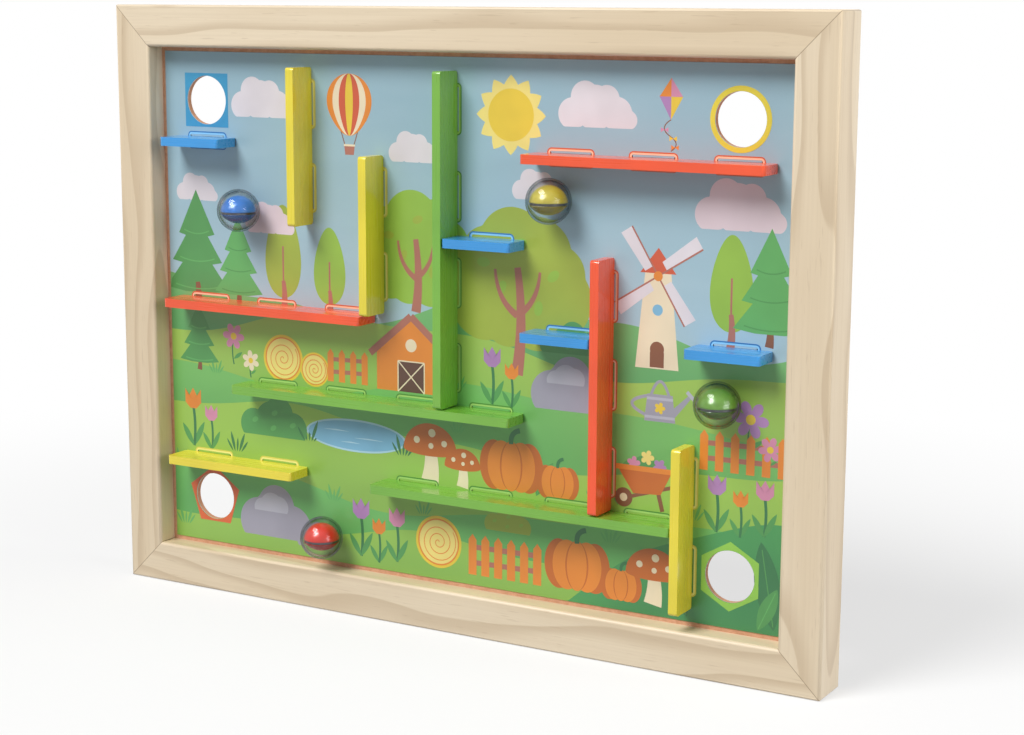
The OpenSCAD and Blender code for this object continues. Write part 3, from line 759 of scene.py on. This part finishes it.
def draw_print():
    """Sky, garden and farmyard motifs in a layout of their own."""
    sun(64, 516, 25)
    hot_air_balloon(-122, 524, 27)
    kite(232, 536, 19)
    for x, z, size, ink in ((-232, 520, 84, "cloud_white"), (-48, 478, 62, "cloud_white"),
                            (154, 524, 88, "cloud_white"), (300, 438, 96, "cloud_blush"),
                            (-318, 426, 58, "cloud_white"), (92, 448, 60, "cloud_white"),
                            (-224, 398, 66, "cloud_blush")):
        cloud(x, z, size, ink)
    fir_tree(-318, 304, 122, 84, "leaf_dark", "leaf_teal")
    fir_tree(-264, 308, 92, 62, "leaf_teal", "leaf_dark")
    poplar(-206, 304, 112, 44, "leaf_olive")
    poplar(-148, 304, 92, 38, "leaf_green")
    round_tree(-44, 318, 124, 122, "leaf_green", "leaf_olive")
    round_tree(72, 266, 166, 146, "leaf_olive", "leaf_green")
    bush(128, 302, 66, "leaf_dark", "leaf_teal")
    windmill(222, 286, 132)
    poplar(296, 312, 104, 42, "leaf_green")
    fir_tree(334, 316, 108, 72, "leaf_teal", "leaf_dark")
    barn(-50, 236, 82)
    fence(-148, -106, 238, 34, 4)
    hay_bale(-208, 256, 25)
    hay_bale(-168, 248, 18)
    fir_tree(-318, 234, 72, 52, "leaf_dark", "leaf_teal")
    daisy(-272, 274, 14, "pink", 30)
    daisy(-250, 250, 11, "cream", 18)
    tulip(44, 234, 56, "lilac")
    tulip(66, 232, 44, "orange")
    boulder(130, 256, 92)
    tuft(164, 238, 22, "leaf_dark")
    watering_can(226, 236, 52)
    daisy(318, 248, 18, "lilac", 34)
    daisy(338, 222, 12, "pink", 18)
    tulip(-328, 150, 62, "orange")
    tulip(-304, 148, 48, "pink")
    bush(-222, 186, 90, "leaf_dark", "leaf_teal")
    tuft(-270, 150, 22, "leaf_deep")
    pond(-118, 184, 118, 30)
    tuft(-176, 172, 24, "leaf_deep")
    tuft(-60, 170, 22, "leaf_deep")
    toadstool(-28, 148, 60)
    toadstool(10, 146, 40)
    pumpkin(66, 174, 32)
    pumpkin(118, 164, 21)
    leaf(94, 148, 40, 62, "leaf_dark", 0.3, 1, "leaf_teal")
    wheelbarrow(214, 150, 72)
    fence(272, 350, 196, 38, 6)
    tulip(286, 138, 54, "lilac")
    tulip(310, 136, 44, "orange")
    tulip(334, 140, 52, "pink")
    boulder(-222, 84, 98)
    boulder(-170, 70, 52)
    tulip(-112, 58, 60, "lilac")
    tulip(-90, 54, 46, "orange")
    tulip(-68, 58, 56, "pink")
    hay_bale(-18, 86, 27)
    fence(22, 96, 58, 42, 6)
    pumpkin(140, 84, 32)
    pumpkin(188, 72, 20)
    toadstool(222, 58, 56)
    bush(62, 116, 56, "leaf_olive", "leaf_green")
    leaf(346, 52, 84, 100, "leaf_deep", 0.3, 2, "leaf_dark")
    leaf(330, 50, 46, 66, "leaf_dark", 0.34, 3, "leaf_teal")
    leaf(258, 52, 46, 112, "leaf_deep", 0.32, 2, "leaf_dark")
    for x, z, h in ((-342, 62, 20), (-146, 112, 18), (-36, 112, 16), (176, 112, 18), (4, 200, 14),
                    (160, 150, 18), (-296, 232, 16), (6, 246, 14), (262, 146, 18), (188, 150, 16),
                    (-346, 130, 16)):
        tuft(x, z, h, "leaf_teal")


def hole_surround(name, x, z, inner, corners, flat_reach, turn, material):
    """Coloured plate round a hole: from the hole's circle out to a regular outline whose sides lie
    flat_reach from the middle, r = flat_reach / cos(angle past the middle of the side)."""
    n = 120
    a = np.linspace(0, TURN, n, endpoint=False) + math.radians(turn)
    out = np.full(n, float(flat_reach))
    if corners:
        part = TURN / corners
        out = flat_reach / np.cos(np.mod(a - math.radians(turn), part) - part / 2)
    s = np.array([0.0, 0.0, 0.5, 1.0, 1.0])[:, None]
    lift = np.array([-0.5, SURROUND_LAYER, SURROUND_LAYER, SURROUND_LAYER, -0.5])[:, None] * LAYER
    r = inner + s * (out - inner)
    points = np.stack([x + r * np.cos(a), np.broadcast_to(SHEET_Y - lift, r.shape), z + r * np.sin(a)], -1)
    dress(mesh_piece(name, points, grid_quads(5, n, True), EDGES), material, "panel")


def slot_line(x, z, upright, length, width, corner):
    """Rounded rectangle round a slot, as one closed path: four quarter circles joined up."""
    parts = []
    for sx, sz, a0 in ((1, 1, 0), (-1, 1, 90), (-1, -1, 180), (1, -1, 270)):
        a = np.radians(np.linspace(a0, a0 + 90, 9))
        parts.append(np.stack([sx * (length / 2 - corner) + corner * np.cos(a),
                               sz * (width / 2 - corner) + corner * np.sin(a)], -1))
    p = np.concatenate(parts)
    return (p[:, ::-1] * (-1, 1) if upright else p) + (x, z)


# ---------------------------------------------------------------- make the pieces

PAINTS = {"blue": (48, 151, 222), "red": (248, 84, 34), "green": (118, 180, 58), "yellow": (236, 217, 54)}

# Width of the bevels that soften the edges of the rails, hanger plates and slats
RAIL_BEVEL, PLATE_BEVEL, SLAT_BEVEL = 0.35, 0.25, 0.7

maple_level = [maple("maple_top", False, 3.1, 0.02, -0.66), maple("maple_foot", False, 8.4, 0.03, 0.06)]
maple_upright = [maple("maple_left", True, 1.7, 0.02, -0.33), maple("maple_right", True, 5.2, -0.01, 0.42)]
board_mat = board_finish()
zinc_mat = zinc("zinc_plate", (0.62, 0.63, 0.64, 1.0), 0.3)
sheet_mat = meadow_ground()


def finish_node(name, material, bevel=0.0, segments=2):
    o = nodes[name]
    o.data.materials.clear()
    o.data.materials.append(material)
    if bevel:
        weld = o.modifiers.new("weld", "WELD")
        weld.merge_threshold = 0.00001
        edge = o.modifiers.new("edge", "BEVEL")
        edge.width = bevel * MM
        edge.segments = segments
        edge.limit_method = "ANGLE"
        edge.angle_limit = math.radians(40)
        edge.harden_normals = True


finish_node("frame_top", maple_level[0], RAIL_BEVEL)
finish_node("frame_bottom", maple_level[1], RAIL_BEVEL)
finish_node("frame_left", maple_upright[0], RAIL_BEVEL)
finish_node("frame_right", maple_upright[1], RAIL_BEVEL)
finish_node("corner_dowels", dowel_finish())
finish_node("board", board_mat)
finish_node("steel_sheet", zinc_mat)
finish_node("picture_sheet", sheet_mat)
finish_node("hanger_plates", zinc_mat, PLATE_BEVEL)
finish_node("hanger_screws", zinc_mat)

slat_names = sorted(n for n in nodes if n.startswith("slat_"))
paint_of = {}
for name in slat_names:
    ink = name.split("_")[1]
    lie = "upright" if name.endswith("upright") else "level"
    if (ink, lie) not in paint_of:
        paint_of[ink, lie] = slat_paint(f"{ink}_paint_{lie}", ink_rgb(*PAINTS[ink]), lie == "upright")
    finish_node(name, paint_of[ink, lie], SLAT_BEVEL, 3)

draw_print()
for ink, (points, quads, _) in printed.items():
    piece = mesh_piece("print_" + ink, np.concatenate(points), np.concatenate(quads), EDGES)
    dress(piece, print_ink("ink_" + ink, ink_rgb(*INKS[ink])), "panel")

# Holes: their distance from the panel's middle to the side and up or down, and the plate's inner radius
HOLE_X, HOLE_UP, HOLE_R = 301.0, 211.25, 25.15
# Plates round the holes: corners, reach of the flat side, turn of the first corner, colour
HOLES = {
    "hole_top_left": (4, 27.7, 45, (54, 150, 194)), "hole_top_right": (0, 30.0, 0, (226, 208, 66)),
    "hole_bottom_left": (5, 27.5, 90, (222, 106, 60)), "hole_bottom_right": (6, 29.0, 30, (146, 200, 80)),
}
for name, (corners, reach, turn, rgb) in HOLES.items():
    side = -1 if name.endswith("left") else 1
    level = (SHEET_Z[0] + SHEET_Z[1]) / 2 + (HOLE_UP if "top" in name else -HOLE_UP)
    hole_surround(name.replace("hole", "surround"), side * HOLE_X, level, HOLE_R, corners, reach, turn,
                  print_ink(name.replace("hole", "ink"), ink_rgb(*rgb)))

# Lines round every slot, a darker one outside and a paler one within
LINE_DARK = {"blue": (40, 118, 178), "red": (204, 98, 58), "green": (82, 140, 56), "yellow": (212, 204, 96)}
LINE_PALE = {"blue": (150, 208, 236), "red": (246, 204, 172), "green": (170, 212, 116),
             "yellow": (238, 234, 150)}
CELL = {"level": 86.0, "upright": 84.5}
SLAT_SHORT = 11.0  # how much shorter a slat is than its cells
LINE_UP = 0.6  # the lines of level slots stand a little above the slot's middle
# Each line's length, width and corner radius, then its thickness and its layer of ink
LINES = {"edge": (LINE_DARK, (49.2, 17.0, 4.0), 1.3, 7), "inner": (LINE_PALE, (46.2, 14.0, 2.6), 1.8, 6)}
slot_lines = {}
for name in slat_names:
    lie = "upright" if name.endswith("upright") else "level"
    low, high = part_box(name)
    mid = ((low.x + high.x) / 2 / MM, (low.z + high.z) / 2 / MM)
    long = (high.z - low.z if lie == "upright" else high.x - low.x) / MM + SLAT_SHORT
    count = round(long / CELL[lie])
    for k in range(count):
        step = (k - (count - 1) / 2) * CELL[lie]
        at = (mid[0], mid[1] + step) if lie == "upright" else (mid[0] + step, mid[1])
        slot_lines.setdefault(name.split("_")[1], []).append((at, lie == "upright"))
for ink, places in slot_lines.items():
    for kind, (table, size, wide, layer) in LINES.items():
        printed[kind] = ([], [], 0)
        for (x, z), upright in places:
            z += 0 if upright else LINE_UP
            band(kind, slot_line(x, z, upright, *size), wide, layer, closed=True)
        points, quads, _ = printed[kind]
        piece = mesh_piece(f"slot_{kind}_{ink}", np.concatenate(points), np.concatenate(quads), EDGES)
        dress(piece, print_ink(f"line_{kind}_{ink}", ink_rgb(*table[ink])), "panel")

# Balls: shell, cap, magnet and bowl turned about the upright line through each middle
CORE = {"blue": (50, 132, 226), "yellow": (216, 196, 58), "green": (112, 164, 48), "red": (248, 44, 16)}
SHELL_WALL, CORE_WALL = 3.0, 1.6
SKIN, SHELL_SKIN = 0.01, 0.005  # how far a surface stays inside the CAD box
DISC_EDGE = 0.4
acrylic = clear_plastic()
magnet_mat = zinc("magnet_plate", (0.12, 0.12, 0.13, 1.0), 0.32)


def dome(rim, foot, height, sign):
    """Section of a dome over a rim of this radius, with its wall inside and a rounded rim; a sign
    below zero hangs it from the foot."""
    arch = (rim * rim + height * height) / (2 * height)
    start = math.degrees(math.asin((arch - height) / arch))
    outer = arc_run(arch - SKIN, start + 1.5, 90, 40, height - arch)
    inner = arc_run(arch - CORE_WALL, 90, start + 4, 30, height - arch)
    lip = inner[-1][0]
    loop = np.concatenate([[(lip, 0.25)], [(lip + 0.3, 0.02)], [(outer[0][0] - 0.25, 0.02)], outer, inner,
                           [(lip, 0.25)]])
    return (loop if sign > 0 else loop[::-1] * (1, -1)) + (0, foot)


def disc(r, mid, half):
    """Section of a flat disc with small chamfers."""
    low, high, side, flat = mid - half, mid + half, r - SKIN, r - DISC_EDGE
    return [(0, low), (flat, low), (side, low + DISC_EDGE), (side, high - DISC_EDGE), (flat, high), (0, high)]


for ink, rgb in CORE.items():
    ball = f"ball_{ink}"
    low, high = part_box(ball + "_shell_lower")
    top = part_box(ball + "_shell_upper")[1]
    radius = (high.x - low.x) / 2 / MM
    centre = ((low.x + high.x) / 2 / MM, (low.y + high.y) / 2 / MM, (low.z + top.z) / 2 / MM)
    cap_low, cap_high = (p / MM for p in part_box(ball + "_core_cap"))
    bowl_low, bowl_high = (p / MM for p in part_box(ball + "_core_bowl"))
    disc_low, disc_high = (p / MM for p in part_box(ball + "_core_magnet"))
    rim = (cap_high.x - cap_low.x) / 2
    outside, inside = arc_run(radius - SHELL_SKIN, -90, 90, 65), arc_run(radius - SHELL_WALL, 90, -90, 65)
    shell = mesh_piece(ball + "_clear", *turned([outside, inside], centre, 128))
    piece = dress(shell, acrylic, ball + "_shell")
    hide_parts(ball + "_shell_upper", ball + "_shell_lower")
    magnet = disc((disc_high.x - disc_low.x) / 2, (disc_low.z + disc_high.z) / 2 - centre[2],
                  (disc_high.z - disc_low.z) / 2)
    colour = ink_rgb(*rgb)
    for part, section, material, slot in (
            ("cap", dome(rim, cap_low.z - centre[2], cap_high.z - cap_low.z, 1),
             core_plastic(ink + "_dome", colour), ink + "_core"),
            ("bowl", dome(rim, bowl_high.z - centre[2], bowl_high.z - bowl_low.z, -1),
             # Partly painted shade: the bowl takes the dome's colour darkened to 0.7, partly for the shade
             # under the ball's middle
             bowl_plastic(ink + "_smoke_and_shade", tone(colour, 0.7)), ink + "_bowl"),
            ("magnet", magnet, magnet_mat, "magnet")):
        core = mesh_piece(f"{ball}_{part}", *turned([section], centre))
        piece = dress(core, material, ball + "_core")
        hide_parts(f"{ball}_core_{part}")

# ---------------------------------------------------------------- floor, light, camera

FLOOR = 6000.0
floor_points = [(-FLOOR, -FLOOR, 0), (FLOOR, -FLOOR, 0), (FLOOR, FLOOR, 0), (-FLOOR, FLOOR, 0)]
floor = mesh_piece("floor", floor_points, [[0, 1, 2, 3]])
pale = Finish("pale_floor", (0.32, 0.32, 0.33, 1.0), 0.8)
rays = pale.add("ShaderNodeLightPath").outputs
white = pale.add("ShaderNodeEmission", {"Color": (1, 1, 1, 1), "Strength": 1.0}).outputs[0]
seen = pale.add("ShaderNodeBsdfDiffuse", {"Color": (0.86, 0.86, 0.85, 1.0)}).outputs[0]
reach = pale.add("ShaderNodeVectorMath", {0: pale.place()}, operation="LENGTH").outputs["Value"]
share = pale.spread(reach, 0.5, 1.3, 0.62, 1.0)
near = pale.add("ShaderNodeMixShader", {0: share, 1: seen, 2: white}).outputs[0]
bright = pale.sum("MAXIMUM", rays["Is Glossy Ray"], rays["Is Transmission Ray"])
lit = pale.add("ShaderNodeMixShader", {0: rays["Is Camera Ray"], 1: pale.shader.outputs[0], 2: near})
pale.surface(pale.add("ShaderNodeMixShader", {0: bright, 1: lit.outputs[0], 2: white}))
floor.data.materials.append(pale.mat)

world = bpy.data.worlds.new("studio")
stage.world = world
world.use_nodes = True
air = Nodes(world.node_tree)
sky = air.tree.nodes["Background"]
sky.inputs["Color"].default_value = (0.94, 0.97, 1.0, 1.0)
sky.inputs["Strength"].default_value = 0.18
plain = air.add("ShaderNodeBackground", {"Color": (1, 1, 1, 1), "Strength": 1.0})
rays = air.add("ShaderNodeLightPath").outputs
bright = air.sum("MAXIMUM", rays["Is Glossy Ray"], rays["Is Transmission Ray"])
seen = air.sum("MAXIMUM", rays["Is Camera Ray"], bright)
swap = air.add("ShaderNodeMixShader", {0: seen, 1: sky.outputs[0], 2: plain.outputs[0]})
air.tree.links.new(swap.outputs[0], air.tree.nodes["World Output"].inputs["Surface"])


def soft_lamp(name, place, aim, size, power, mirrored=True):
    lamp = bpy.data.lights.new(name, "AREA")
    lamp.shape, lamp.size, lamp.energy = "DISK", size, power
    o = bpy.data.objects.new(name, lamp)
    o.location = place
    o.rotation_euler = (Vector(aim) - Vector(place)).to_track_quat("-Z", "Y").to_euler()
    o.visible_glossy = mirrored
    stage.collection.objects.link(o)


# The key stands high at the front left. The side lamp is just behind the front, where it
# reaches only the frame's right side, and the weak fill also reaches the slats' right faces.
# These two are kept out of reflections
soft_lamp("key", (-2.0, -5.0, 6.3), (0, 0, 0.3), 4.0, 640)
soft_lamp("side", (3.0, 0.35, 1.1), (0.4, 0, 0.3), 1.2, 33, False)
soft_lamp("fill", (3.2, -0.9, 1.2), (0, 0, 0.3), 1.2, 26, False)

# The camera's three axes are turned by yaw, then pitch, then roll
EYE = (1.0350, -1.6682, 0.6253)
yaw, pitch, roll = 0.5236, -0.1801, -0.0046
facing = Matrix.Rotation(yaw, 3, "Z") @ Matrix.Rotation(pitch, 3, "X") @ Matrix.Rotation(roll, 3, "Y")
right, forward, up = facing.col[0], facing.col[1], facing.col[2]
lens = bpy.data.cameras.new("camera")
lens.lens, lens.sensor_width = 71.34, 36.0
eye = bpy.data.objects.new("camera", lens)
eye.matrix_world = Matrix.Translation(EYE) @ Matrix((
    (right.x, up.x, -forward.x, 0), (right.y, up.y, -forward.y, 0), (right.z, up.z, -forward.z, 0),
    (0, 0, 0, 1)))
stage.collection.objects.link(eye)
stage.camera = eye
